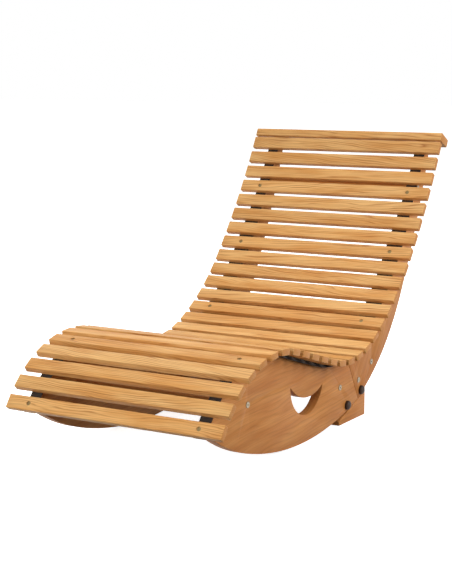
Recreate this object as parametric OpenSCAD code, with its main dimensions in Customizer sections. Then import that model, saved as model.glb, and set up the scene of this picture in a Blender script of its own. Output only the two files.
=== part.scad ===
// Slatted rocking lounger. Thirty slats and a top board run across two S-shaped side
// frames. Each side frame is a rocker plate, cut to an arc below, and a back rail; an
// inner gusset bolts them together and carries the stop block on which the chair leans.
// +Z is up and the floor is Z = 0. The sitter faces -Y, and X = 0 is the middle.
// Left and right are the sitter's, so the left side is +X.

/* [Seat line] */
// Height of the seat line at the first slat, at the feet, above the noses' undersides
front_rise = 6.6; // [4:0.1:11]
// Radius of the bend over the calves and knees
knee_r = 296; // [286:2:306]
// Angle through which the seat line turns along that bend
knee_angle = 72.5; // [70:0.1:75]
// Length of the straight run under the thighs
thigh_len = 207.5; // [197.5:2.5:222.5]
// Angle at which that run falls to the rear
thigh_angle = 16.8; // [15:0.1:19]
// Radius of the dip of the seat
dip_r = 305; // [290:5:325]
// Angle through which the seat line turns along the dip
dip_angle = 42.9; // [41:0.1:45]
// Radius of the curve at the small of the back
lumbar_r = 630; // [590:10:690]
// Angle through which the seat line turns along that curve
lumbar_angle = 23.3; // [21:0.1:25]
// Radius of the long, nearly straight back
back_r = 1890; // [1690:50:2490]
// Height of the frames' top edge above the seat line
edge_h = 3; // [2:0.5:4]

/* [Slats] */
// Length of a slat across the chair
slat_len = 600; // [560:5:700]
// Width of a slat along the seat line
slat_w = 35; // [30:1:38]
// Thickness of a slat
slat_t = 16; // [12:1:18]
// Radius of the slats' eased long edges
slat_ease = 1.5; // [1:0.5:3]
// Distance from slat to slat along the legs and seat
seat_pitch = 52; // [50:0.5:54]
// Distance from slat to slat along the back
back_pitch = 48.5; // [46:0.5:50]

/* [Top board] */
// Gap between the last slat and the board across the top
top_gap = 5; // [3:1:12]
// Thickness of the top board
top_t = 24; // [20:1:26]
// Depth of the top board, front to back
top_d = 52; // [46:1:60]

/* [Side frames] */
// Distance between the outer faces of the two side frames
frame_w = 500; // [460:5:540]
// Thickness of the rocker plates, back rails and stop blocks
frame_t = 25; // [22:1:30]
// Radius of the rocking arc
rock_r = 1000; // [980:10:1040]
// Distance from the top of the butt joint forward to the arc's lowest point
rock_ahead = 242.5; // [236:0.1:252]
// Radius of the rocker plates' noses, which curl up from the rocking arc
nose_r = 600; // [450:10:900]
// Angle along the rocking arc, ahead of its lowest point, at which the nose begins
nose_angle = 16; // [13:0.5:18]
// Lean of the butt joint between rocker plate and back rail, from the upright
joint_lean = 30; // [25:1:35]
// Width of a back rail at its top end
rail_top_w = 28; // [26:1:36]
// Width of a back rail at its heel, the corner above the stop block
heel_w = 139; // [133:1:146]
// Distance along the seat line from the start of the dip to the heel
heel_past = 225; // [217:1:233]

/* [Moon cut-out] */
// Distance of the moon's middle behind the arc's lowest point
moon_y = 23.5; // [10:0.5:35]
// Height of the moon's middle above the floor
moon_z = 157; // [153:1:163]
// Radius of the moon's lower edge
moon_r = 87.5; // [83:0.5:94]
// Radius of the moon's upper edge
bite_r = 140; // [130:1:150]
// Distance between the centres of the two edges
bite_off = 96; // [92:0.5:100]

/* [Stop blocks and gussets] */
// Length of a stop block along the floor
stop_len = 154; // [145:1:162]
// Distance from the stop block's rear end forward to where the arc touches it
stop_touch_back = 28.4; // [20:0.1:45]
// Thickness of the gussets inside the joints
gusset_t = 22; // [18:1:25]
// Height of a gusset's top edge above the seat stretchers
gusset_over = 13; // [8:1:20]

/* [Stretchers] */
// Width of a stretcher board
stretcher_w = 40; // [34:1:44]
// Thickness of a stretcher board
stretcher_t = 20; // [18:1:24]
// Depth of the front stretcher's middle below the seat line
front_stretcher_depth = 90; // [85:1:95]
// Depth of the hip stretcher's middle below the seat line
hip_stretcher_depth = 100; // [92:1:105]
// Gap between the frame bolts' washers and the level of the two seat stretchers
bolt_clear = 1.7; // [1:0.1:4]

/* [Webbing] */
// Width of the straps at their two ends
strap_w = 32; // [28:1:38]
// Width of the straps along the seat and the lower back
strap_wide_w = 48; // [40:1:48]
// Thickness of the straps
strap_t = 1.5; // [1.2:0.1:2]

/* [Hardware] */
// Shank diameter of the wood screws
screw_d = 5; // [4:0.5:5.5]
// Head diameter of the wood screws
screw_head_d = 10; // [9:0.5:11]
// Length of a slat screw
slat_screw_len = 35; // [30:1:38]
// Length of a top board screw
top_screw_len = 60; // [50:1:70]
// Length of a stop block screw
stop_screw_len = 38; // [34:1:42]
// Shank diameter of the connector bolts that hold the stretchers
connector_d = 6; // [5:0.5:7]
// Head diameter of the connector bolts
connector_head_d = 15; // [13:0.5:17]
// Diameter of the barrel nuts in the stretchers
barrel_d = 10; // [9:0.5:12]
// Diameter of the dowels at the stretchers' ends
dowel_d = 8; // [6:0.5:8.5]
// Shank diameter of the four frame bolts
bolt_d = 8; // [6:0.5:8.5]
// Diameter of the black caps over the frame bolts' heads
cap_d = 24; // [23:0.5:28]

/* [Hidden] */
slat_count = 30;
seat_slats = 20;
fit = 0.2;
joint_gap = 0.3;
ease_steps = 4;
round_fn = 48;
rock_fn = 360;
past = 1;

frame_x = frame_w / 2;
inner_x = frame_x - frame_t;
frame_mid_x = frame_x - frame_t / 2;
gusset_x = inner_x - gusset_t;

wood_light = "#d9a862";
wood_frame = "#bb7d45";
wood_dowel = "#dcc297";
webbing_black = "#2a2a2b";
plastic_black = "#211d1b";
zinc = "#b8bbbd";

// The seat line runs just inside the top edge of the side frames, as a chain of arcs
// in the YZ plane. Each arc is a radius and a length; a negative radius bends down and
// 0 is straight. Depths are measured from this line.
front_angle = knee_angle - thigh_angle;
function arc_length(r, a) = r * a * PI / 180;
seat_arcs = [
  [-knee_r, arc_length(knee_r, knee_angle)],
  [0, thigh_len],
  [dip_r, arc_length(dip_r, dip_angle)],
  [lumbar_r, arc_length(lumbar_r, lumbar_angle)],
  [back_r, 0]
];
dip_s = seat_arcs[0][1] + thigh_len;

function along(a) = [cos(a), sin(a)];
function above(a) = [-sin(a), cos(a)];
function turn(r, d) = r == 0 ? 0 : d / r * 180 / PI;
function arc_end(p, a, r, d) =
  r == 0 ? p + d * along(a) : p + r * (above(a) - above(a + turn(r, d)));
function walk(s, p, a, i) =
  let (r = seat_arcs[i][0], len = seat_arcs[i][1])
  i == len(seat_arcs) - 1 || s <= len
    ? [arc_end(p, a, r, s), a + turn(r, s)]
    : walk(s - len, arc_end(p, a, r, len), a + turn(r, len), i + 1);
function seat_from_front(s) = walk(s, [0, 0], front_angle, 0);

// The butt joint's top end sets the rocking arc's place along the chair, and the nose of
// the rocker plate sets the height of the seat line's front end.
joint_past = 165;
joint_s = dip_s + joint_past;
rock_y = seat_from_front(joint_s)[0][0] - rock_ahead;
nose_y = rock_y - rock_r * sin(nose_angle);
nose_centre = [
  rock_y - (rock_r - nose_r) * sin(nose_angle),
  rock_r - (rock_r - nose_r) * cos(nose_angle)
];
front_h = nose_centre[1] - sqrt(pow(nose_r, 2) - pow(nose_centre[0], 2)) + front_rise;
function seat_at(s) = let (f = seat_from_front(s)) [f[0] + [0, front_h], f[1]];
function seat_off(s, depth) = let (f = seat_at(s)) f[0] - depth * above(f[1]);

// Slats are numbered from the feet. Each lies flat on the frames, along a chord of the
// seat line.
function slat_s(k) = seat_pitch * min(k - 1, seat_slats - 1) + back_pitch * max(0, k - seat_slats);
function gap_s(k) = (slat_s(k) + slat_s(k + 1)) / 2;
function slat_seat(k) =
  let (
    a = seat_at(slat_s(k) - slat_w / 2)[0],
    b = seat_at(slat_s(k) + slat_w / 2)[0],
    slope = atan2(b[1] - a[1], b[0] - a[0])
  )
  [(a + b) / 2 + edge_h * above(slope), slope];
function slat_edge(k, side, height) =
  let (f = slat_seat(k)) f[0] + side * slat_w / 2 * along(f[1]) + height * above(f[1]);

// Outlines of boards, with the origin at the middle of the underside
function corner(y, z, r, a0) =
  [for (i = [0:ease_steps]) [y, z] + r * along(a0 + 90 * i / ease_steps)];
function board(w, t, r) = concat(
  corner(w / 2 - r, t - r, r, 0),
  corner(r - w / 2, t - r, r, 90),
  corner(r - w / 2, r, r, 180),
  corner(w / 2 - r, r, r, 270)
);
function placed(outline, p, a) = [for (q = outline) p + q[0] * along(a) + q[1] * above(a)];
function slat_outline(k) =
  let (f = slat_seat(k))
  placed(board(slat_w, slat_t, slat_ease), f[0] + strap_t * above(f[1]), f[1]);

top_s = slat_s(slat_count) + slat_w / 2 + top_gap;
top_f = seat_at(top_s);
top_ease = 4;
face_h = strap_t + slat_t;
top_outline = placed(
  board(top_d, top_t, top_ease),
  top_f[0] + (edge_h + face_h - top_d / 2) * above(top_f[1]),
  top_f[1] - 90
);

// The side frame's outline: the seat line, then the rear edge down to the heel. The
// rear edge tapers in a straight line with a slight belly near the heel.
front_trim = 14;
rear_steps = 24;
heel_s = dip_s + heel_past;
rail_belly = 6;
rail_ease_power = 3;
frame_top = concat(
  [seat_off(-slat_w / 2 - front_trim, -edge_h)],
  [for (k = [1:slat_count], side = [-1, 1]) slat_edge(k, side, 0)]
);
function rail_w(u) =
  rail_top_w + (heel_w - rail_top_w) * u + rail_belly * sin(180 * pow(u, rail_ease_power));
frame_rear = [for (i = [0:rear_steps])
  let (u = i / rear_steps)
  seat_off(top_s + (heel_s - top_s) * u, rail_w(u))];
heel = seat_off(heel_s, heel_w);
frame_outline = concat(
  frame_top,
  [seat_off(top_s, -edge_h)],
  frame_rear,
  [[heel[0], -past], [frame_top[0][0], -past]]
);

// The butt joint starts in the dip of the seat and leans back as it goes down.
joint_top = seat_at(joint_s)[0];
function joint_y(z) = joint_top[0] + (joint_top[1] - z) * tan(joint_lean);
function arc_z(y, inset) = rock_r - sqrt(pow(rock_r - inset, 2) - pow(y - rock_y, 2));

// The stop block's top edge is a tangent of the rocking arc.
stop_gap = 0.3;
stop_front = heel[0] - stop_len;
stop_touch = heel[0] - stop_touch_back;
stop_rise = (stop_touch - rock_y) / (rock_r - arc_z(stop_touch, 0));
function stop_z(y) = arc_z(stop_touch, 0) - stop_gap + (y - stop_touch) * stop_rise;

// The frame bolts lie side by side along the arc, on either side of the joint.
bolt_inset = 15.5;
bolt_fore = 39;
bolt_aft = 43;
washer_d = 2 * bolt_d;
joint_mid_z = 102;
joint_mid_y = joint_y(joint_mid_z);
function on_arc(y) = [y, arc_z(y, bolt_inset)];
frame_bolt_at = [on_arc(joint_mid_y - bolt_fore), on_arc(joint_mid_y + bolt_aft)];
seat_stretcher_z = frame_bolt_at[1][1] + washer_d / 2 + bolt_clear + stretcher_w / 2;

gusset_fore = 110;
gusset_aft = 78;
gusset_front_z = 60;
gusset_clear = 8;
gusset_inset = 4;
gusset_nose = 6;
gusset_top = seat_stretcher_z + stretcher_w / 2 + gusset_over;
gusset_outline = [
  [joint_mid_y - gusset_fore, gusset_front_z],
  [joint_mid_y - gusset_fore, gusset_top],
  [joint_mid_y + gusset_aft, gusset_top],
  [heel[0] - gusset_inset, heel[1] + gusset_inset],
  [heel[0] - gusset_inset, gusset_clear],
  [stop_front + gusset_nose, gusset_clear],
  [stop_front, gusset_clear + gusset_nose]
];
stop_screw_at = [
  [stop_front + 0.36 * stop_len, 0.5 * stop_z(stop_front + 0.36 * stop_len)],
  [stop_front + 0.82 * stop_len, 0.5 * stop_z(stop_front + 0.82 * stop_len)]
];

// Stretchers: the middle's place in the YZ plane, the slope of the board's width and
// the X of its end. The last two lie flat behind a gap in the back, just under the slats.
back_stretcher_depth = 3 + stretcher_t / 2;
front_stretcher_past = 6;
back_stretcher_past = 8;
seat_stretcher_fore = 81;
seat_stretcher_aft = 29;
hip_past = 276;
hip_s = dip_s + hip_past;
lumbar_s = gap_s(18) + back_stretcher_past;
shoulder_s = gap_s(27) + back_stretcher_past;
stretcher_names = [
  "front_stretcher",
  "seat_stretcher_front",
  "seat_stretcher_rear",
  "hip_stretcher",
  "lumbar_stretcher",
  "shoulder_stretcher"
];
stretchers = [
  [seat_off(gap_s(4) + front_stretcher_past, front_stretcher_depth), 0, inner_x],
  [[joint_mid_y - seat_stretcher_fore, seat_stretcher_z], 90, gusset_x],
  [[joint_mid_y + seat_stretcher_aft, seat_stretcher_z], 90, gusset_x],
  [seat_off(hip_s, hip_stretcher_depth), seat_at(hip_s)[1], inner_x],
  [seat_off(lumbar_s, back_stretcher_depth), seat_at(lumbar_s)[1], inner_x],
  [seat_off(shoulder_s, back_stretcher_depth), seat_at(shoulder_s)[1], inner_x]
];
all_stretchers = [0:len(stretchers) - 1];
plate_stretchers = [0, 1];
rail_stretchers = [2, 3, 4, 5];
gusset_stretchers = [1, 2];

screwed_slats = [1, 5, 18, 23, 27];
screw_sink = 1.5;
screw_head_h = 3;
connector_head_h = 1.5;
nut_back = 30;
barrel_len = 16;
dowel_len = 30;
dowel_seat = 12;
dowel_off = 12;
washer_t = 1.6;
bolt_head_h = 5.3;
bolt_nut_h = 6.5;
bolt_hex_d = 1.87 * bolt_d;
staple_w = 10;
staple_wire = 1.2;
staple_crown_t = 0.5;
staple_leg = 8;
staple_off = 9;

// The origin is the middle of the chair's length, so everything moves forward by this.
box_rear = max([for (q = concat(top_outline, [heel])) q[0]]);
box_front = min([for (q = slat_outline(1)) q[0]]);
mid_y = (box_front + box_rear) / 2;

function slat_name(k) = str("slat_", k < 10 ? "0" : "", k);
sides = ["left", "right"];

// Extrudes an outline of the YZ plane from x0 to x1
module across(x0, x1) {
  translate([x0, 0, 0]) rotate([90, 0, 90]) linear_extrude(x1 - x0) children();
}

// A cylinder along X through a point of the YZ plane
module rod_x(p, x0, x1, d, fn = round_fn) {
  translate([x0, p[0], p[1]]) rotate([0, 90, 0]) cylinder(h = x1 - x0, d = d, $fn = fn);
}

// Children are drawn for the +X side and mirrored for the other one
module on_side(side) {
  if (side == "left") children();
  else mirror([1, 0, 0]) children();
}

module on_both_sides() {
  for (side = sides) on_side(side) children();
}

// Local axes at a slat: Y along the seat line, Z out of the seat, Z = 0 on the frame
module at_slat(k, x) {
  f = slat_seat(k);
  translate([x, f[0][0], f[0][1]]) rotate([f[1], 0, 0]) children();
}

// Local axes at a stretcher's middle: Y along its width, Z through its thickness
module at_stretcher(i) {
  translate([0, stretchers[i][0][0], stretchers[i][0][1]])
    rotate([stretchers[i][1], 0, 0]) children();
}

// Local axes on a side frame's top end: Z along the rail, out of it
module at_rail_top() {
  p = seat_off(top_s, rail_top_w / 2);
  translate([frame_mid_x, p[0], p[1]]) rotate([top_f[1] - 90, 0, 0]) children();
}

// Countersunk wood screw pointing down, with its head's top at Z = 0. With a
// clearance it is the hole that the screw needs.
module wood_screw(len, clear = 0) {
  translate([0, 0, -screw_head_h])
    cylinder(h = screw_head_h, d1 = screw_d + clear, d2 = screw_head_d + clear, $fn = round_fn);
  translate([0, 0, -len - clear]) cylinder(h = len, d = screw_d + clear, $fn = round_fn);
}

module socket_screw(len) {
  difference() {
    wood_screw(len);
    translate([0, 0, -screw_head_h / 2])
      cylinder(h = screw_head_h, d = screw_d * 0.7, $fn = 6);
  }
}

// Hole for a countersunk screw sunk below a board's face at Z = 0
module screw_hole(len) {
  translate([0, 0, -screw_sink]) wood_screw(len, fit);
  translate([0, 0, -screw_sink - past * 0.01])
    cylinder(h = screw_sink + past, d = screw_head_d + fit, $fn = round_fn);
}

module staple(clear = 0) {
  wire = staple_wire + clear;
  translate([-staple_w / 2 - clear / 2, staple_off - wire / 2, -clear])
    cube([staple_w + clear, wire, staple_crown_t + 2 * clear]);
  for (s = [-1, 1])
    translate([s * (staple_w - staple_wire) / 2 - wire / 2, staple_off - wire / 2, 0])
      cube([wire, wire, strap_t + staple_leg + clear]);
}

module slat(k) {
  color(wood_light) difference() {
    across(-slat_len / 2, slat_len / 2) polygon(slat_outline(k));
    for (s = [-1, 1]) {
      if (len(search(k, screwed_slats)) > 0)
        at_slat(k, s * frame_mid_x) translate([0, 0, face_h]) screw_hole(slat_screw_len);
      at_slat(k, s * frame_mid_x) staple(fit);
    }
  }
}

module top_board() {
  color(wood_light) difference() {
    across(-slat_len / 2, slat_len / 2) polygon(top_outline);
    on_both_sides() at_rail_top() translate([0, 0, top_t]) screw_hole(top_screw_len);
  }
}

// The rear of the joint plane, moved back by half the joint's gap
module behind_joint(shift) {
  far = 2 * rock_r;
  translate([-far / 2, joint_top[0], joint_top[1]])
    rotate([joint_lean, 0, 0])
      translate([0, shift, -far / 2]) cube([far, far, far]);
}

// One whole side frame, before it is cut at the joint. Its foot follows the rocking
// arc, and ahead of the nose's start a smaller arc that touches it there.
module side_frame() {
  difference() {
    intersection() {
      across(inner_x, frame_x) polygon(frame_outline);
      rod_x([rock_y, rock_r], inner_x - past, frame_x + past, 2 * rock_r, rock_fn);
    }
    difference() {
      translate([inner_x - past, nose_y - nose_r, -past])
        cube([frame_t + 2 * past, nose_r, nose_centre[1]]);
      rod_x(nose_centre, inner_x - 2 * past, frame_x + 2 * past, 2 * nose_r, rock_fn);
    }
  }
}

module stretcher_end_holes(which) {
  for (i = which) {
    rod_x(stretchers[i][0], gusset_x - past, frame_x + past, connector_d + fit);
    if (stretchers[i][2] == inner_x) at_stretcher(i) end_dowel(fit);
  }
}

// One dowel across the end of the stretcher whose axes are in force
module end_dowel(clear = 0, x = inner_x) {
  rod_x(
    [dowel_off, 0],
    x - dowel_len + dowel_seat - clear,
    x + dowel_seat + clear,
    dowel_d + clear
  );
}

module frame_bolt_holes() {
  for (p = frame_bolt_at) rod_x(p, gusset_x - past, frame_x + past, bolt_d + fit);
}

module slat_screw_holes() {
  for (k = screwed_slats)
    at_slat(k, frame_mid_x) translate([0, 0, face_h - screw_sink]) wood_screw(slat_screw_len, fit);
}

module moon() {
  middle = [rock_y + moon_y, moon_z];
  bite_angle = 7;
  bite = middle + bite_off * [sin(bite_angle), cos(bite_angle)];
  difference() {
    rod_x(middle, inner_x - past, frame_x + past, 2 * moon_r, 2 * round_fn);
    rod_x(bite, inner_x - 2 * past, frame_x + 2 * past, 2 * bite_r, 2 * round_fn);
  }
}

module rocker_plate(side) {
  color(wood_frame) on_side(side) difference() {
    side_frame();
    behind_joint(-joint_gap / 2);
    moon();
    stretcher_end_holes(plate_stretchers);
    frame_bolt_holes();
    slat_screw_holes();
  }
}

module back_rail(side) {
  color(wood_frame) on_side(side) difference() {
    intersection() {
      side_frame();
      behind_joint(joint_gap / 2);
    }
    stretcher_end_holes(rail_stretchers);
    frame_bolt_holes();
    slat_screw_holes();
    at_rail_top() translate([0, 0, top_t - screw_sink]) wood_screw(top_screw_len, fit);
  }
}

module stop_block(side) {
  color(wood_frame) on_side(side) difference() {
    across(inner_x, frame_x) polygon([
      [stop_front, 0],
      [heel[0], 0],
      [heel[0], stop_z(heel[0])],
      [stop_front, stop_z(stop_front)]
    ]);
    stop_screw_holes();
  }
}

module stop_screw_holes() {
  for (p = stop_screw_at)
    translate([gusset_x, p[0], p[1]]) rotate([0, -90, 0]) wood_screw(stop_screw_len, fit);
}

module gusset(side) {
  color(wood_frame) on_side(side) difference() {
    across(gusset_x, inner_x) polygon(gusset_outline);
    for (i = gusset_stretchers) {
      rod_x(stretchers[i][0], gusset_x - past, frame_x, connector_d + fit);
      at_stretcher(i) end_dowel(fit, gusset_x);
    }
    frame_bolt_holes();
    stop_screw_holes();
  }
}

module stretcher(i) {
  end_x = stretchers[i][2];
  bore_end = end_x - nut_back - barrel_d;
  stretcher_ease = 2;
  color(wood_frame) difference() {
    at_stretcher(i) translate([0, 0, -stretcher_t / 2])
      across(-end_x, end_x) polygon(board(stretcher_w, stretcher_t, stretcher_ease));
    on_both_sides() {
      rod_x(stretchers[i][0], bore_end, end_x + past, connector_d + fit);
      at_stretcher(i) {
        end_dowel(fit, end_x);
        translate([end_x - nut_back, 0, -stretcher_t / 2 - past])
          cylinder(h = stretcher_t / 2 + barrel_len / 2 + past, d = barrel_d + fit, $fn = round_fn);
      }
    }
  }
}

// The webbing follows the frame's top edge from the first slat to the last. Seen from
// above it is widest under the seat, where it reaches past the frame's faces.
strap_spread = [
  [slat_seat(4)[0][0], strap_w],
  [slat_seat(7)[0][0], strap_wide_w],
  [slat_seat(24)[0][0], strap_wide_w],
  [slat_seat(26)[0][0], strap_w]
];
strap_plan = concat(
  [[frame_mid_x - strap_w / 2, -slat_w], [frame_mid_x + strap_w / 2, -slat_w]],
  [for (p = strap_spread) [frame_mid_x + p[1] / 2, p[0]]],
  [[frame_mid_x + strap_w / 2, top_f[0][0]], [frame_mid_x - strap_w / 2, top_f[0][0]]],
  [for (i = [len(strap_spread) - 1:-1:0])
    [frame_mid_x - strap_spread[i][1] / 2, strap_spread[i][0]]]
);

module strap(side) {
  lower = [for (i = [1:len(frame_top) - 1]) frame_top[i]];
  upper = [for (k = [1:slat_count], side = [-1, 1]) slat_edge(k, side, strap_t)];
  backwards = [for (i = [len(upper) - 1:-1:0]) upper[i]];
  color(webbing_black) on_side(side) difference() {
    intersection() {
      across(frame_mid_x - strap_wide_w / 2, frame_mid_x + strap_wide_w / 2)
        polygon(concat(lower, backwards));
      translate([0, 0, -past]) linear_extrude(top_f[0][1] + 2 * past) polygon(strap_plan);
    }
    for (k = screwed_slats)
      at_slat(k, frame_mid_x) translate([0, 0, -past])
        cylinder(h = strap_t + 2 * past, d = screw_d + 2 * fit, $fn = round_fn);
    for (k = [1:slat_count]) at_slat(k, frame_mid_x) staple(fit);
  }
}

module slat_screws() {
  color(zinc) on_both_sides() for (k = screwed_slats)
    at_slat(k, frame_mid_x) translate([0, 0, face_h - screw_sink]) socket_screw(slat_screw_len);
}

module top_board_screws() {
  color(zinc) on_both_sides() at_rail_top()
    translate([0, 0, top_t - screw_sink]) socket_screw(top_screw_len);
}

// Flat-headed bolts through the side frames into the stretchers' barrel nuts
module connector_bolts() {
  color(zinc) on_both_sides() for (i = all_stretchers) difference() {
    union() {
      rod_x(stretchers[i][0], frame_x, frame_x + connector_head_h, connector_head_d);
      rod_x(stretchers[i][0], stretchers[i][2] - nut_back - barrel_d / 2, frame_x, connector_d);
    }
    rod_x(stretchers[i][0], frame_x - 2 * past, frame_x + 3 * past, connector_d * 0.7, 6);
  }
}

module barrel_nuts() {
  color(zinc) on_both_sides() for (i = all_stretchers) difference() {
    at_stretcher(i) translate([stretchers[i][2] - nut_back, 0, -barrel_len / 2])
      cylinder(h = barrel_len, d = barrel_d, $fn = round_fn);
    rod_x(stretchers[i][0], 0, frame_x, connector_d + fit);
  }
}

module dowels() {
  color(wood_dowel) on_both_sides() for (i = all_stretchers)
    at_stretcher(i) end_dowel(0, stretchers[i][2]);
}

module frame_bolts() {
  head_x = frame_x + washer_t;
  tip_x = gusset_x - washer_t - bolt_nut_h - 2 * past;
  color(zinc) on_both_sides() for (p = frame_bolt_at) {
    rod_x(p, head_x, head_x + bolt_head_h, bolt_hex_d, 6);
    rod_x(p, tip_x, head_x, bolt_d);
  }
}

module bolt_washers() {
  color(zinc) on_both_sides() for (p = frame_bolt_at, x = [frame_x, gusset_x - washer_t])
    difference() {
      rod_x(p, x, x + washer_t, washer_d);
      rod_x(p, x - past, x + washer_t + past, bolt_d + fit);
    }
}

module bolt_nuts() {
  nut_x = gusset_x - washer_t - bolt_nut_h;
  color(zinc) on_both_sides() for (p = frame_bolt_at) difference() {
    rod_x(p, nut_x, nut_x + bolt_nut_h, bolt_hex_d, 6);
    rod_x(p, nut_x - past, nut_x + bolt_nut_h + past, bolt_d + fit);
  }
}

// Domed plastic caps that press over the bolt heads and washers
module bolt_caps() {
  rim_h = 4;
  dome_h = 7;
  cavity_h = washer_t + bolt_head_h + fit;
  dome_steps = 8;
  dome = [for (i = [0:dome_steps])
    [cap_d / 2 * cos(90 * i / dome_steps), rim_h + dome_h * sin(90 * i / dome_steps)]];
  color(plastic_black) on_both_sides() for (p = frame_bolt_at)
    translate([frame_x, p[0], p[1]]) rotate([0, 90, 0]) difference() {
      rotate_extrude($fn = round_fn) polygon(concat([[0, 0], [cap_d / 2, 0]], dome));
      translate([0, 0, -past])
        cylinder(h = cavity_h + past, d = washer_d + fit, $fn = round_fn);
    }
}

module stop_block_screws() {
  color(zinc) on_both_sides() for (p = stop_screw_at)
    translate([gusset_x, p[0], p[1]]) rotate([0, -90, 0]) socket_screw(stop_screw_len);
}

// Staples that hold the webbing to the undersides of the slats
module staples() {
  color(zinc) for (k = [1:slat_count], s = [-1, 1])
    at_slat(k, s * frame_mid_x) translate([0, 0, fit / 2]) staple();
}

module in_place() {
  translate([0, -mid_y, 0]) children();
}

for (k = [1:slat_count])
  in_place() slat(k);
in_place() top_board();
for (side = sides) {
  in_place() rocker_plate(side);
  in_place() back_rail(side);
  in_place() stop_block(side);
  in_place() gusset(side);
  in_place() strap(side);
}
for (i = all_stretchers)
  in_place() stretcher(i);
in_place() slat_screws();
in_place() top_board_screws();
in_place() connector_bolts();
in_place() barrel_nuts();
in_place() dowels();
in_place() frame_bolts();
in_place() bolt_washers();
in_place() bolt_nuts();
in_place() bolt_caps();
in_place() stop_block_screws();
in_place() staples();
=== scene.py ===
import math
import random

import bmesh
import bpy
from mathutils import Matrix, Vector


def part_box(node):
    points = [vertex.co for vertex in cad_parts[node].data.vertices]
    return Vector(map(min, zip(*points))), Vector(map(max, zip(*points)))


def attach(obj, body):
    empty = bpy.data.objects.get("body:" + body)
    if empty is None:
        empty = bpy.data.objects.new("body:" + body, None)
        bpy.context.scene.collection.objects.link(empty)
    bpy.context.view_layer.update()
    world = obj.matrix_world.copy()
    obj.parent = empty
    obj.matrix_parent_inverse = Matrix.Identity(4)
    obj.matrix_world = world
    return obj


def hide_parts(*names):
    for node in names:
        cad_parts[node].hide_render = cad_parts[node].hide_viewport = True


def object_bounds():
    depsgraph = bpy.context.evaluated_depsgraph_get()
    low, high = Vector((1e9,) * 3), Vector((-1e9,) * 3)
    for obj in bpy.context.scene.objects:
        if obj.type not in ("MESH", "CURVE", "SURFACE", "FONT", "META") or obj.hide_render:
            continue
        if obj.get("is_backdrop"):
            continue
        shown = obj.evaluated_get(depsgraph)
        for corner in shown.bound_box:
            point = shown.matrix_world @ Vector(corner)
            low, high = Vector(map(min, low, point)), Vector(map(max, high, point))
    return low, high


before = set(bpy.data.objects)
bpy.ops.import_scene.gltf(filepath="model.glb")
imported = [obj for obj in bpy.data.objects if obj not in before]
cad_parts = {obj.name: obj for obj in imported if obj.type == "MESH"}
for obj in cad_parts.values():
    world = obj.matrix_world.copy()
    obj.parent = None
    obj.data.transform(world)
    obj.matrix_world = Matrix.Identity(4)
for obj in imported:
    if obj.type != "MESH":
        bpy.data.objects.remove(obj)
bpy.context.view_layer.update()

# Rocker plates. Two 25 mm boards of oiled hardwood, sawn to the rocking arc below and to the
# seat line above, with a crescent cut right through. Their edges are eased with a router.


def linear(code):
    """An sRGB hex colour as linear red, green, blue and alpha."""
    parts = [int(code[i : i + 2], 16) / 255 for i in (1, 3, 5)]
    return [p / 12.92 if p <= 0.04045 else ((p + 0.055) / 1.055) ** 2.4 for p in parts] + [1]


def add(tree, kind, settings=None, links=None):
    """Adds a node. A setting is a property or an input's value, a link an output for an input."""
    made = tree.nodes.new(kind)
    for key, value in (settings or {}).items():
        if isinstance(key, str) and hasattr(made, key):
            setattr(made, key, value)
        else:
            made.inputs[key].default_value = value
    for key, source in (links or {}).items():
        tree.links.new(source, made.inputs[key])
    return made


def new_material(name):
    """An empty node material with its output, as (material, tree, shader)."""
    material = bpy.data.materials.new(name)
    material.use_nodes = True
    tree = material.node_tree
    tree.nodes.clear()
    shader = add(tree, "ShaderNodeBsdfPrincipled")
    add(tree, "ShaderNodeOutputMaterial", links={"Surface": shader.outputs[0]})
    return material, tree, shader


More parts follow.
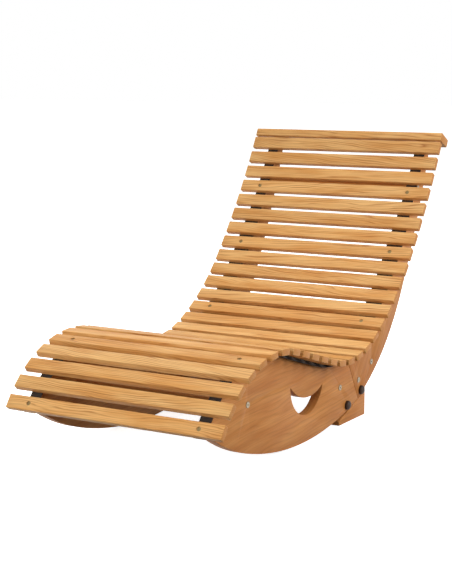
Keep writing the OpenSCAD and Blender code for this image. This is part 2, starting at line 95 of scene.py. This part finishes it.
def oiled_wood(name, early, late, line, end, ring, strength, roughness):
    """Hardwood that was planed and oiled: flat-sawn year rings in slanting waves, long fibres and
    patches that took up more oil. A board's sawn ends have the colour end, where one is given.
    Sizes are in metres, along the mesh's own grain directions."""
    material, tree, shader = new_material(name)
    sway_length, sway_width, sway_reach = 0.24, 0.070, 0.048  # arches in the year rings
    uneven_length, uneven_rings, uneven_reach = 0.96, 2.2, 2.6  # wide years and narrow ones
    fibre_length, fibre_width = 0.060, 0.0014  # real fibres are finer, but wouldn't show
    patch_length, patch_width = 0.160, 0.026  # where the oil soaked in deeper
    soak_low, soak_high = 0.35, 0.68
    fade_length, fade_width = 0.128, 0.0156  # where the rings fade out
    fade_low, fade_high, faintest_ring = 0.36, 0.62, 0.3
    ring_slant = 0.8  # how far the rings lean through the board's thickness
    pale, ring_profile = 0.1, ((0.30, 0.0), (0.62, 0.35), (0.82, 1.0))  # early to late wood
    end_share = 0.75
    fibre_low, fibre_high, darkest_fibre, palest_fibre = 0.3, 0.7, 0.88, 1.09
    gloss_range = 0.07
    relief_strength, relief_depth, ring_relief = 0.5, 0.0003, 0.5
    grain = add(tree, "ShaderNodeAttribute", {"attribute_name": "grain"})
    board = add(tree, "ShaderNodeAttribute", {"attribute_name": "board"})
    tone = add(tree, "ShaderNodeSeparateXYZ", links={0: board.outputs["Vector"]})
    place = add(tree, "ShaderNodeSeparateXYZ", links={0: grain.outputs["Vector"]})

    def stretched_noise(length, width, detail, rough):
        scaled = add(
            tree,
            "ShaderNodeVectorMath",
            {"operation": "MULTIPLY", 1: (1 / length, 1 / width, 1 / width)},
            {0: grain.outputs["Vector"]},
        )
        noise = add(
            tree,
            "ShaderNodeTexNoise",
            {"Scale": 1.0, "Detail": detail, "Roughness": rough},
            {"Vector": scaled.outputs[0]},
        )
        return noise.outputs[0]

    def maths(operation, first, second=0.0):
        values = {0: first, 1: second}
        fixed = {k: v for k, v in values.items() if isinstance(v, (int, float))}
        linked = {k: v for k, v in values.items() if k not in fixed}
        return add(tree, "ShaderNodeMath", {"operation": operation, **fixed}, linked).outputs[0]

    def ranged(value, low, high, to_low, to_high):
        limits = {"From Min": low, "From Max": high, "To Min": to_low, "To Max": to_high}
        return add(tree, "ShaderNodeMapRange", limits, {"Value": value}).outputs[0]

    def blended(share, one, two):
        colours = {6: one, 7: two}
        fixed = {k: linear(v) for k, v in colours.items() if isinstance(v, str)}
        linked = {k: v for k, v in colours.items() if k not in fixed}
        return add(
            tree, "ShaderNodeMix", {"data_type": "RGBA", **fixed}, {0: share, **linked}
        ).outputs[2]

    # Year rings: how deep in the log a point lies, counted in years, as a share of its year
    swaying = stretched_noise(sway_length, sway_width, 2, 0.45)
    reach = maths("MULTIPLY", tone.outputs[2], sway_reach)
    sway = maths("MULTIPLY", maths("SUBTRACT", swaying, 0.5), reach)
    depth = maths("ADD", place.outputs[1], maths("MULTIPLY", place.outputs[2], ring_slant))
    years = maths("DIVIDE", maths("ADD", depth, sway), ring)
    unevenness = stretched_noise(uneven_length, ring * uneven_rings, 1, 0.5)
    uneven = maths("MULTIPLY", unevenness, uneven_reach)
    rings = maths("FRACT", maths("ADD", years, uneven))
    profile = add(tree, "ShaderNodeValToRGB", links={0: rings})
    stops = profile.color_ramp.elements
    for stop, position in ((stops[0], 0.0), (stops[1], 1.0)):
        stop.position, stop.color = position, (pale, pale, pale, 1)
    for position, level in ring_profile:
        stops.new(position).color = (level, level, level, 1)

    # Colour: two tones of oiled wood in patches, the rings over them, and fibres light and dark
    fibres = stretched_noise(fibre_length, fibre_width, 3, 0.6)
    patches = stretched_noise(patch_length, patch_width, 2, 0.5)
    faded = stretched_noise(fade_length, fade_width, 1, 0.5)
    fading = ranged(faded, fade_low, fade_high, faintest_ring, 1.0)
    ring_share = maths("MULTIPLY", maths("MULTIPLY", profile.outputs[0], fading), strength)
    soaked = maths("ADD", patches, maths("SUBTRACT", tone.outputs[1], 0.5))
    wash = ranged(soaked, soak_low, soak_high, 0.0, 1.0)
    whole = blended(ring_share, blended(wash, early, late), line)
    if end:
        facing = add(tree, "ShaderNodeNewGeometry")
        ways = add(tree, "ShaderNodeSeparateXYZ", links={0: facing.outputs["True Normal"]})
        sawn_end = maths("GREATER_THAN", maths("ABSOLUTE", ways.outputs[0]), 0.9)
        whole = blended(maths("MULTIPLY", sawn_end, end_share), whole, end)
    streaks = ranged(fibres, fibre_low, fibre_high, darkest_fibre, palest_fibre)
    shade = maths("MULTIPLY", streaks, tone.outputs[0])
    finish = add(tree, "ShaderNodeHueSaturation", links={"Value": shade, "Color": whole})
    tree.links.new(finish.outputs[0], shader.inputs["Base Color"])

    # Surface: a low gloss that varies with the fibres, and rings and fibres that can be felt
    shader.inputs["Specular IOR Level"].default_value = 0.2  # oil that has soaked in
    dull, bright = roughness - gloss_range, roughness + gloss_range
    tree.links.new(ranged(fibres, fibre_low, fibre_high, dull, bright), shader.inputs["Roughness"])
    height = maths("SUBTRACT", fibres, maths("MULTIPLY", profile.outputs[0], ring_relief))
    relief = add(
        tree,
        "ShaderNodeBump",
        {"Strength": relief_strength, "Distance": relief_depth},
        {"Height": height},
    )
    tree.links.new(relief.outputs[0], shader.inputs["Normal"])
    return material


def grained(piece, along, across, slant, draw, waves=(0.9, 1.1)):
    """Writes each vertex's place along, across and through the board, and the board's own
    lightness, share of darker wood and waviness. The slant is the grain's, in degrees."""
    a, b = Vector(along).normalized(), Vector(across).normalized()
    turn = math.radians(slant)
    length = a * math.cos(turn) + b * math.sin(turn)
    width = b * math.cos(turn) - a * math.sin(turn)
    depth = a.cross(b)
    start = Vector((draw.uniform(2, 9), draw.uniform(2, 9), draw.uniform(2, 9)))  # its own log
    lightness, darker_share = draw.uniform(0.93, 1.05), draw.uniform(0.42, 0.60)
    tone = (lightness, darker_share, draw.uniform(*waves))
    mesh = piece.data
    places = mesh.attributes.new("grain", "FLOAT_VECTOR", "POINT")
    tones = mesh.attributes.new("board", "FLOAT_VECTOR", "POINT")
    for i, vertex in enumerate(mesh.vertices):
        p = vertex.co
        places.data[i].vector = start + Vector((p.dot(length), p.dot(width), p.dot(depth)))
        tones.data[i].vector = tone


def finished(name, mesh, material, node_names):
    """A piece made from a mesh, smooth between its sharp edges, in place of CAD nodes."""
    sharp = math.radians(32)
    piece = bpy.data.objects.new(name, mesh)
    bpy.context.scene.collection.objects.link(piece)
    mesh.materials.clear()
    mesh.materials.append(material)
    mesh.polygons.foreach_set("use_smooth", [True] * len(mesh.polygons))
    mesh.set_sharp_from_angle(angle=sharp)
    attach(piece, "root")
    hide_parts(*node_names)
    return piece


def eased_copy(node_name, ease):
    """A copy of the CAD solid's mesh, with its outer corners rounded over by ease."""
    same_point, flat, corner = 1e-6, math.radians(0.05), math.radians(35)
    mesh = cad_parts[node_name].data.copy()
    work = bmesh.new()
    work.from_mesh(mesh)
    bmesh.ops.remove_doubles(work, verts=work.verts, dist=same_point)
    bmesh.ops.dissolve_limit(work, angle_limit=flat, verts=work.verts, edges=work.edges)
    corners = [
        e for e in work.edges if e.is_manifold and e.is_convex and e.calc_face_angle() > corner
    ]
    bmesh.ops.bevel(
        work,
        geom=corners,
        offset=ease,
        segments=2,
        profile=0.5,
        affect="EDGES",
        clamp_overlap=False,
    )
    work.to_mesh(mesh)
    work.free()
    return mesh


# Oiled hardwood gone reddish brown: low gloss, broad faint rings that rise with the board
frame_wood = oiled_wood(
    "oiled_hardwood_frame",
    early="#d69350",
    late="#c47c3d",
    line="#9c5826",
    end=None,
    ring=0.0110,
    strength=0.40,
    roughness=0.55,
)
draw = random.Random(11)
frame_ease, plate_slope = 0.0015, math.radians(1)
for side in ("left", "right"):
    node_name = "rocker_plate_" + side
    plate_mesh = eased_copy(node_name, frame_ease)
    plate = finished("plate_" + side, plate_mesh, frame_wood, [node_name])
    along = (0, math.cos(plate_slope), math.sin(plate_slope))
    across = (0, -math.sin(plate_slope), math.cos(plate_slope))
    grained(plate, along, across, slant=2, draw=draw)

# Back rails. Two boards of the same wood, wide at the heel and tapering to the top, butted
# against the rocker plates along a slanting joint.
rail_slope = math.radians(58)
for side in ("left", "right"):
    node_name = "back_rail_" + side
    rail_mesh = eased_copy(node_name, frame_ease)
    rail = finished("rail_" + side, rail_mesh, frame_wood, [node_name])
    along = (0, math.cos(rail_slope), math.sin(rail_slope))
    across = (0, -math.sin(rail_slope), math.cos(rail_slope))
    grained(rail, along, across, slant=-3, draw=draw)

# Stop blocks and gussets. Offcuts of the frame boards: the blocks stand on the floor behind the
# arcs, the gussets tie plate, rail and block together from inside.
for side in ("left", "right"):
    for node_name in ("stop_block_" + side, "gusset_" + side):
        block_mesh = eased_copy(node_name, frame_ease)
        block = finished(node_name + "_eased", block_mesh, frame_wood, [node_name])
        grained(block, along=(0, 1, 0), across=(0, 0, 1), slant=4, draw=draw)

# Stretchers. Six planed boards of the frames' wood across the chair, with edges just broken,
# each held by a connector bolt and a dowel at either end.
stretcher_ease = 0.0004
for node_name in (
    "front_stretcher",
    "seat_stretcher_front",
    "seat_stretcher_rear",
    "hip_stretcher",
    "lumbar_stretcher",
    "shoulder_stretcher",
):
    board = eased_copy(node_name, stretcher_ease)
    stretcher = finished(node_name + "_board", board, frame_wood, [node_name])
    low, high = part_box(node_name)
    wide = (0, high[1] - low[1], high[2] - low[2])
    grained(stretcher, along=(1, 0, 0), across=wide, slant=3, draw=draw)

# Slats. Thirty planed boards of oiled hardwood, 600 x 35 x 16 mm, with all edges lightly eased,
# stapled to the webbing, and five of them screwed down. Paler and more golden than the frames.
knee_radius, dip_radius, lumbar_radius, back_radius = 0.296, 0.305, 0.630, 1.890
knee_turn, dip_turn, lumbar_turn = math.radians(72.5), math.radians(42.9), math.radians(23.3)
thigh_length = 0.2075
seat_arcs = (  # radius, which is 0 where the line is straight, and length
    (-knee_radius, knee_radius * knee_turn),
    (0, thigh_length),
    (dip_radius, dip_radius * dip_turn),
    (lumbar_radius, lumbar_radius * lumbar_turn),
    (back_radius, math.inf),
)
front_height, front_slope = 0.126986, math.radians(55.7)
edge_height, webbing_thick = 0.003, 0.0015  # of the frames' edge over the seat line; of a band
slat_length, slat_width, slat_thick, slat_ease = 0.600, 0.035, 0.016, 0.0015
seat_pitch, back_pitch, seat_slats, slat_count = 0.052, 0.0485, 20, 30
screwed_slats = (1, 5, 18, 23, 27)
wavy_slats = (1, 2, 15, 20, 30)
frame_middle = 0.2375


def seat_at(s):
    """Place (y, z) and slope of the seat line at a distance from the first slat's middle."""
    y, z, slope = 0.0, front_height, front_slope
    for radius, length in seat_arcs:
        step = min(s, length)
        if radius == 0:
            y, z = y + step * math.cos(slope), z + step * math.sin(slope)
        else:
            after = slope + step / radius
            y += radius * (math.sin(after) - math.sin(slope))
            z -= radius * (math.cos(after) - math.cos(slope))
            slope = after
        s -= step
        if s <= 0:
            break
    return y, z, slope


def slat_distance(number):
    """Distance along the seat line from the first slat's middle."""
    return seat_pitch * min(number - 1, seat_slats - 1) + back_pitch * max(0, number - seat_slats)


def slat_place(number):
    """Point on the frames' edge under a slat's middle, and the slat's slope."""
    s = slat_distance(number)
    ya, za, _ = seat_at(s - slat_width / 2)
    yb, zb, _ = seat_at(s + slat_width / 2)
    slope = math.atan2(zb - za, yb - ya)
    y = (ya + yb) / 2 - edge_height * math.sin(slope) - middle_y
    z = (za + zb) / 2 + edge_height * math.cos(slope)
    return Vector((0, y, z)), slope


def directions(slope):
    """Unit vectors along the seat line and out of the seat."""
    along = Vector((0, math.cos(slope), math.sin(slope)))
    up = Vector((0, -math.sin(slope), math.cos(slope)))
    return along, up


# The frame's origin is in the middle of the chair's length, so the first slat gives the shift
middle_y = 0.0
first, first_slope = slat_place(1)
first_low, first_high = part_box("slat_01")
first_rise = webbing_thick + slat_thick / 2
middle_y = (first - first_rise * Vector((0, math.sin(first_slope), 0))).y
middle_y -= (first_low[1] + first_high[1]) / 2

# Oiled hardwood still golden: low gloss, with close rings that show well and darker sawn ends
slat_wood = oiled_wood(
    "oiled_hardwood_slats",
    early="#ebb976",
    late="#da9d57",
    line="#a36026",
    end="#c5803e",
    ring=0.0060,
    strength=0.85,
    roughness=0.50,
)


def board_mesh(name, length, width, thick, ease, origin, across, up):
    """A planed board across the chair, with all its edges and corners rounded over."""
    mesh = bpy.data.meshes.new(name)
    work = bmesh.new()
    bmesh.ops.create_cube(work, size=1)
    for vertex in work.verts:
        x, y, z = vertex.co
        sideways = Vector((length * x, 0, 0))
        vertex.co = origin + sideways + across * (width * y) + up * (thick * (z + 0.5))
    bmesh.ops.bevel(work, geom=work.edges[:], offset=ease, segments=4, profile=0.5, affect="EDGES")
    work.to_mesh(mesh)
    work.free()
    return mesh


def lathed(name, profile, origin, axis, steps=32):
    """A turned form from (height, radius) pairs round an axis, closed where the radius is 0."""
    across = axis.orthogonal().normalized()
    third = axis.cross(across)
    work = bmesh.new()
    loops = []
    for height, radius in profile:
        if radius == 0:
            loops.append([work.verts.new(origin + axis * height)])
            continue
        loop = []
        for i in range(steps):
            turn = 2 * math.pi * i / steps
            outward = across * math.cos(turn) + third * math.sin(turn)
            loop.append(work.verts.new(origin + axis * height + radius * outward))
        loops.append(loop)
    for one, two in zip(loops, loops[1:]):
        for i in range(steps):
            j = (i + 1) % steps
            if len(one) == 1:
                work.faces.new((one[0], two[i], two[j]))
            elif len(two) == 1:
                work.faces.new((one[i], one[j], two[0]))
            else:
                work.faces.new((one[i], one[j], two[j], two[i]))
    bmesh.ops.recalc_face_normals(work, faces=work.faces)
    mesh = bpy.data.meshes.new(name)
    work.to_mesh(mesh)
    work.free()
    return mesh


def bored(mesh, cutters):
    """The mesh with the cutters' forms taken out of it."""
    body = bpy.data.objects.new("body", mesh)
    bpy.context.scene.collection.objects.link(body)
    tools = []
    for cutter in cutters:
        tool = bpy.data.objects.new("tool", cutter)
        bpy.context.scene.collection.objects.link(tool)
        cut = body.modifiers.new("cut", "BOOLEAN")
        cut.operation, cut.solver, cut.object = "DIFFERENCE", "EXACT", tool
        tools.append(tool)
    bpy.context.view_layer.update()
    seen = body.evaluated_get(bpy.context.evaluated_depsgraph_get())
    result = bpy.data.meshes.new_from_object(seen)
    for thing in [body, *tools]:
        bpy.data.objects.remove(thing)
    return result


# A screw's hole, by height from the slat's face: a flat recess, the head's seat, the shank's bore
above_face, below_slat = 0.004, -0.018
recess_radius, recess_floor = 0.0057, -0.003
head_radius, head_floor, shank_radius = 0.0038, -0.0045, 0.0027
hole_profile = (
    (above_face, 0),
    (above_face, recess_radius),
    (recess_floor, recess_radius),
    (recess_floor, head_radius),
    (head_floor, shank_radius),
    (below_slat, shank_radius),
    (below_slat, 0),
)
steady_grain, wavy_grain, most_slant = (0.3, 0.8), (1.0, 1.4), 5
draw = random.Random(5)
for number in range(1, slat_count + 1):
    place, slope = slat_place(number)
    along, up = directions(slope)
    base = place + up * webbing_thick
    node_name = f"slat_{number:02d}"
    size = (slat_length, slat_width, slat_thick, slat_ease)
    mesh = board_mesh(node_name + "_board", *size, base, along, up)
    if number in screwed_slats:
        tops = [base + up * slat_thick + Vector((x, 0, 0)) for x in (-frame_middle, frame_middle)]
        mesh = bored(mesh, [lathed("hole", hole_profile, top, up) for top in tops])
    slat = finished(f"board_{number:02d}", mesh, slat_wood, [node_name])
    waves = wavy_grain if number in wavy_slats else steady_grain
    grained(slat, (1, 0, 0), along, draw.uniform(-most_slant, most_slant), draw, waves)

# Top board. One heavier board of the slats' wood, laid over the rails' ends with its front
# edge level with the slats, and screwed down into the rails.
top_slope, top_grain = math.radians(62.4), (0.2, 0.4)
top_mesh = eased_copy("top_board", slat_ease)
top_board = finished("top_board_eased", top_mesh, slat_wood, ["top_board"])
grained(top_board, (1, 0, 0), directions(top_slope)[1], slant=2, draw=draw, waves=top_grain)

# Webbing. Two bands of black polypropylene, woven with lengthwise ribs, laid along the frames'
# top edges under the slats and stapled to every slat. They are stretched wide under the seat,
# where their margins hang over the frames' faces, and gathered at both ends.
rib_pitch, rib_high = 0.0032, 0.00022
selvage_width, selvage_thin = 0.0006, 0.0004  # the woven edge, and how much thinner it gets
webbing_gap = 0.00005  # keeps the ribs just off the slats
webbing_widths = (  # by the slat that lies on the band there
    (4, 0.032),
    (7, 0.048),
    (24, 0.0475),
    (25, 0.041),
    (26, 0.035),
    (27, 0.032),
)
frame_half = 0.0125
first_hanging, last_hanging = 6.2, 14  # places between slats, counted from the feet
hang_angle, hang_fullness = math.radians(48), 0.7


def webbing_material():
    """Polypropylene yarn: dark grey, dull, with cross threads through the ribs. The real threads
    are about 1.6 mm apart, and are drawn twice as coarse to show."""
    material, tree, shader = new_material("woven_polypropylene")
    thread_pitch = 0.00316
    waves_per_unit = 20 / (2 * math.pi)  # of a wave texture at scale 1
    wave_scale = 1 / (thread_pitch * waves_per_unit)
    run = add(tree, "ShaderNodeAttribute", {"attribute_name": "run"})
    wave = add(
        tree,
        "ShaderNodeTexWave",
        {"bands_direction": "X", "Scale": wave_scale, "Distortion": 0.6, "Detail": 1.0},
        {"Vector": run.outputs["Vector"]},
    )
    colour = add(
        tree,
        "ShaderNodeMix",
        {"data_type": "RGBA", 6: linear("#231e1b"), 7: linear("#3c342e")},
        {0: wave.outputs[1]},
    )
    tree.links.new(colour.outputs[2], shader.inputs["Base Color"])
    shader.inputs["Roughness"].default_value = 0.9
    shader.inputs["Specular IOR Level"].default_value = 0.3
    relief = add(
        tree, "ShaderNodeBump", {"Strength": 0.6, "Distance": 0.0003}, {"Height": wave.outputs[1]}
    )
    tree.links.new(relief.outputs[0], shader.inputs["Normal"])
    return material


def webbing_width_at(s):
    """The band's width at a distance along the seat line."""
    stations = [(slat_distance(number), width) for number, width in webbing_widths]
    if s <= stations[0][0]:
        return stations[0][1]
    for (start, one), (end, two) in zip(stations, stations[1:]):
        if s <= end:
            return one + (two - one) * (s - start) / (end - start)
    return stations[-1][1]


def hanging(s, offset):
    """Where a point of the band ends up, across and down, with its margin off the frame."""
    start, end = slat_distance(first_hanging), slat_distance(last_hanging)
    share = min(max((s - start) / (end - start), 0), 1)
    angle = hang_angle * math.sin(math.pi * share) ** hang_fullness
    beyond = max(0, abs(offset) - frame_half)
    inward = math.copysign(beyond * (1 - math.cos(angle)), offset)
    return offset - inward, beyond * math.sin(angle)


webbing = webbing_material()
across_steps = 60
path = []  # points under the slats' edges and middles: place, way up and distance
for number in range(1, slat_count + 1):
    place, slope = slat_place(number)
    along, up = directions(slope)
    for end in (-1, 0, 1):
        reach = end * slat_width / 2
        path.append((place + along * reach, up, slat_distance(number) + reach))
for side, sign in (("left", 1), ("right", -1)):
    work = bmesh.new()
    run_layer = work.verts.layers.float_vector.new("run")
    rows = []
    for point, up, s in path:
        width = webbing_width_at(s)
        row = []
        for upper_face in (True, False):
            steps = range(across_steps + 1) if upper_face else range(across_steps, -1, -1)
            for j in steps:
                offset = (j / across_steps - 0.5) * width
                rib = rib_high * (0.5 + 0.5 * math.cos(2 * math.pi * offset / rib_pitch))
                edge = width / 2 - abs(offset)
                height = thin = selvage_thin * max(0, 1 - edge / selvage_width)
                if upper_face:
                    height = webbing_thick - webbing_gap - rib_high + rib - thin
                across, down = hanging(s, offset)
                spot = Vector((sign * (frame_middle + across), 0, -down))
                vertex = work.verts.new(point + up * height + spot)
                vertex[run_layer] = (s, offset, 0)
                row.append(vertex)
        rows.append(row)
    for one, two in zip(rows, rows[1:]):
        count = len(one)
        for j in range(count):
            k = (j + 1) % count
            work.faces.new((one[j], one[k], two[k], two[j]))
    work.faces.new(rows[0])
    work.faces.new(reversed(rows[-1]))
    bmesh.ops.recalc_face_normals(work, faces=work.faces)
    mesh = bpy.data.meshes.new("webbing_" + side)
    work.to_mesh(mesh)
    work.free()
    finished("webbing_" + side, mesh, webbing, ["strap_" + side])

# Small hardware. Zinc-plated steel screws, bolts, washers, nuts, barrel nuts and staples, and
# turned beech dowels. Their CAD shapes are right, so they stay and get their finishes here.


def plated_steel(name, dark, light):
    """Plated steel, satin, with a fine mottle from the plating bath."""
    material, tree, shader = new_material(name)
    mottle_size = 0.0015
    place = add(tree, "ShaderNodeTexCoord")
    mottle = add(
        tree,
        "ShaderNodeTexNoise",
        {"Scale": 1 / mottle_size, "Detail": 2.0},
        {"Vector": place.outputs["Object"]},
    )
    colour = add(
        tree,
        "ShaderNodeMix",
        {"data_type": "RGBA", 6: linear(dark), 7: linear(light)},
        {0: mottle.outputs[0]},
    )
    tree.links.new(colour.outputs[2], shader.inputs["Base Color"])
    shader.inputs["Metallic"].default_value = 1.0
    gloss = add(
        tree,
        "ShaderNodeMapRange",
        {"To Min": 0.35, "To Max": 0.50},
        {"Value": mottle.outputs[0]},
    )
    tree.links.new(gloss.outputs[0], shader.inputs["Roughness"])
    return material


def beech_material():
    """Turned beech: pale pinkish tan with short dark flecks along the dowel."""
    material, tree, shader = new_material("turned_beech")
    flecks_per_metre = (250, 1400, 1400)  # flecks are about 4 mm long and 0.7 mm wide
    place = add(tree, "ShaderNodeTexCoord")
    scaled = add(
        tree,
        "ShaderNodeVectorMath",
        {"operation": "MULTIPLY", 1: flecks_per_metre},
        {0: place.outputs["Object"]},
    )
    flecks = add(
        tree, "ShaderNodeTexNoise", {"Scale": 1.0, "Detail": 2.0}, {"Vector": scaled.outputs[0]}
    )
    colour = add(
        tree,
        "ShaderNodeMix",
        {"data_type": "RGBA", 6: linear("#c9a67c"), 7: linear("#e3cba4")},
        {0: flecks.outputs[0]},
    )
    tree.links.new(colour.outputs[2], shader.inputs["Base Color"])
    shader.inputs["Roughness"].default_value = 0.6
    return material


# Clear zinc on the bolts, nuts and staples; yellow passivated zinc on the wood screws
clear_zinc_nodes = (
    "connector_bolts",
    "barrel_nuts",
    "frame_bolts",
    "bolt_washers",
    "bolt_nuts",
    "staples",
)
yellow_zinc_nodes = ("slat_screws", "top_board_screws", "stop_block_screws")
for finish, node_names in (
    (plated_steel("zinc_plated_steel", "#7d7462", "#9c9079"), clear_zinc_nodes),
    (plated_steel("yellow_zinc_plated_steel", "#7d6a46", "#9d875c"), yellow_zinc_nodes),
    (beech_material(), ("dowels",)),
):
    for node_name in node_names:
        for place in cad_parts[node_name].material_slots:
            place.material = finish

# Bolt caps. Four domes of moulded black plastic, pressed over the frame bolts' heads. They are
# a warm near black in the light, with a satin skin.


def cap_material():
    """Moulded polyethylene: near black, satin, with a faint grain from the mould."""
    material, tree, shader = new_material("moulded_black_plastic")
    grain_size = 0.0008
    place = add(tree, "ShaderNodeTexCoord")
    grain = add(
        tree,
        "ShaderNodeTexNoise",
        {"Scale": 1 / grain_size, "Detail": 1.0},
        {"Vector": place.outputs["Object"]},
    )
    colour = add(
        tree,
        "ShaderNodeMix",
        {"data_type": "RGBA", 6: linear("#2b190c"), 7: linear("#3c2513")},
        {0: grain.outputs[0]},
    )
    tree.links.new(colour.outputs[2], shader.inputs["Base Color"])
    shader.inputs["Roughness"].default_value = 0.48
    shader.inputs["Specular IOR Level"].default_value = 0.25
    relief = add(
        tree, "ShaderNodeBump", {"Strength": 0.15, "Distance": 0.0002}, {"Height": grain.outputs[0]}
    )
    tree.links.new(relief.outputs[0], shader.inputs["Normal"])
    return material


cap_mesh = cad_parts["bolt_caps"].data.copy()
finished("caps", cap_mesh, cap_material(), ["bolt_caps"])

# Floor. A wide sheet of white studio paper under the chair. It looks white to the camera and in
# reflections, takes the chair's shadow, and sends up little light of its own.
floor_size = 60
half = floor_size / 2
floor_mesh = bpy.data.meshes.new("floor")
floor_mesh.from_pydata(
    [(-half, -half, 0), (half, -half, 0), (half, half, 0), (-half, half, 0)], [], [(0, 1, 2, 3)]
)
floor = bpy.data.objects.new("floor", floor_mesh)
bpy.context.scene.collection.objects.link(floor)


def seen_directly(tree):
    """1 for rays from the camera, mirrors and clear things, and 0 for those that carry light."""
    path = add(tree, "ShaderNodeLightPath")
    mask = path.outputs["Is Camera Ray"]
    for kind in ("Is Glossy Ray", "Is Transmission Ray"):
        mask = add(
            tree, "ShaderNodeMath", {"operation": "MAXIMUM"}, {0: mask, 1: path.outputs[kind]}
        ).outputs[0]
    return mask


paper_glow = 0.78
floor_paper = bpy.data.materials.new("white_studio_paper")
floor_paper.use_nodes = True
tree = floor_paper.node_tree
tree.nodes.clear()
grey = add(tree, "ShaderNodeBsdfDiffuse", {"Color": linear("#403e3b")})
white = add(tree, "ShaderNodeBsdfDiffuse", {"Color": linear("#fbfbfb")})
glow = add(tree, "ShaderNodeEmission", {"Color": linear("#ffffff"), "Strength": paper_glow})
paper = add(tree, "ShaderNodeAddShader", links={0: white.outputs[0], 1: glow.outputs[0]})
seen = add(
    tree,
    "ShaderNodeMixShader",
    links={0: seen_directly(tree), 1: grey.outputs[0], 2: paper.outputs[0]},
)
add(tree, "ShaderNodeOutputMaterial", links={0: seen.outputs[0]})
floor_mesh.materials.append(floor_paper)
floor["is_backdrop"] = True

# Light. A studio that is bright overhead and dimmer toward the walls, with large soft lamps above,
# in front, at the chair's left and behind its right side. The walls look white to the camera and
# in reflections alone.
low_light, high_light = 0.22, 0.54
world = bpy.data.worlds.new("studio")
bpy.context.scene.world = world
world.use_nodes = True
tree = world.node_tree
tree.nodes.clear()
direction = add(tree, "ShaderNodeTexCoord")
upward = add(tree, "ShaderNodeSeparateXYZ", links={0: direction.outputs["Generated"]})
level = add(
    tree,
    "ShaderNodeMapRange",
    {"To Min": low_light, "To Max": high_light},
    {"Value": upward.outputs[2]},
)
room = add(
    tree, "ShaderNodeBackground", {"Color": linear("#ffffff")}, {"Strength": level.outputs[0]}
)
backdrop = add(tree, "ShaderNodeBackground", {"Color": linear("#ffffff"), "Strength": 1.0})
mixed = add(
    tree,
    "ShaderNodeMixShader",
    links={0: seen_directly(tree), 1: room.outputs[0], 2: backdrop.outputs[0]},
)
add(tree, "ShaderNodeOutputWorld", links={0: mixed.outputs[0]})

softbox_size, seat_middle = 2.4, Vector((0, 0, 0.35))
for name, spot, power in (
    ("overhead_softbox", (-0.2, 0.3, 3.6), 40),
    ("front_softbox", (-0.3, -4.0, 1.5), 82),
    ("side_softbox", (3.6, 0.9, 1.7), 96),
    ("rear_softbox", (-3.4, 2.2, 1.5), 66),
):
    lamp_data = bpy.data.lights.new(name, "AREA")
    lamp_data.shape, lamp_data.size, lamp_data.energy = "SQUARE", softbox_size, power
    lamp = bpy.data.objects.new(name, lamp_data)
    lamp.location = spot
    lamp.visible_glossy = name != "rear_softbox"  # it would glare on the seat's slats
    aim = seat_middle - lamp.location
    lamp.rotation_euler = aim.to_track_quat("-Z", "Y").to_euler()
    bpy.context.scene.collection.objects.link(lamp)

# Camera. It stands in front of the chair's left side at the photograph's angle, a little over
# three and a half metres away, with a long lens.
camera_place = (1.8573, -3.2056, 0.9215)
camera_tilt, camera_turn = math.radians(81.09), math.radians(30.921)
camera_data = bpy.data.cameras.new("camera")
camera_data.sensor_width, camera_data.lens = 36, 87.92
camera = bpy.data.objects.new("camera", camera_data)
camera.location = camera_place
camera.rotation_euler = (camera_tilt, 0, camera_turn)
bpy.context.scene.collection.objects.link(camera)
bpy.context.scene.camera = camera
bpy.context.scene.view_settings.view_transform = "Standard"

low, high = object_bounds()
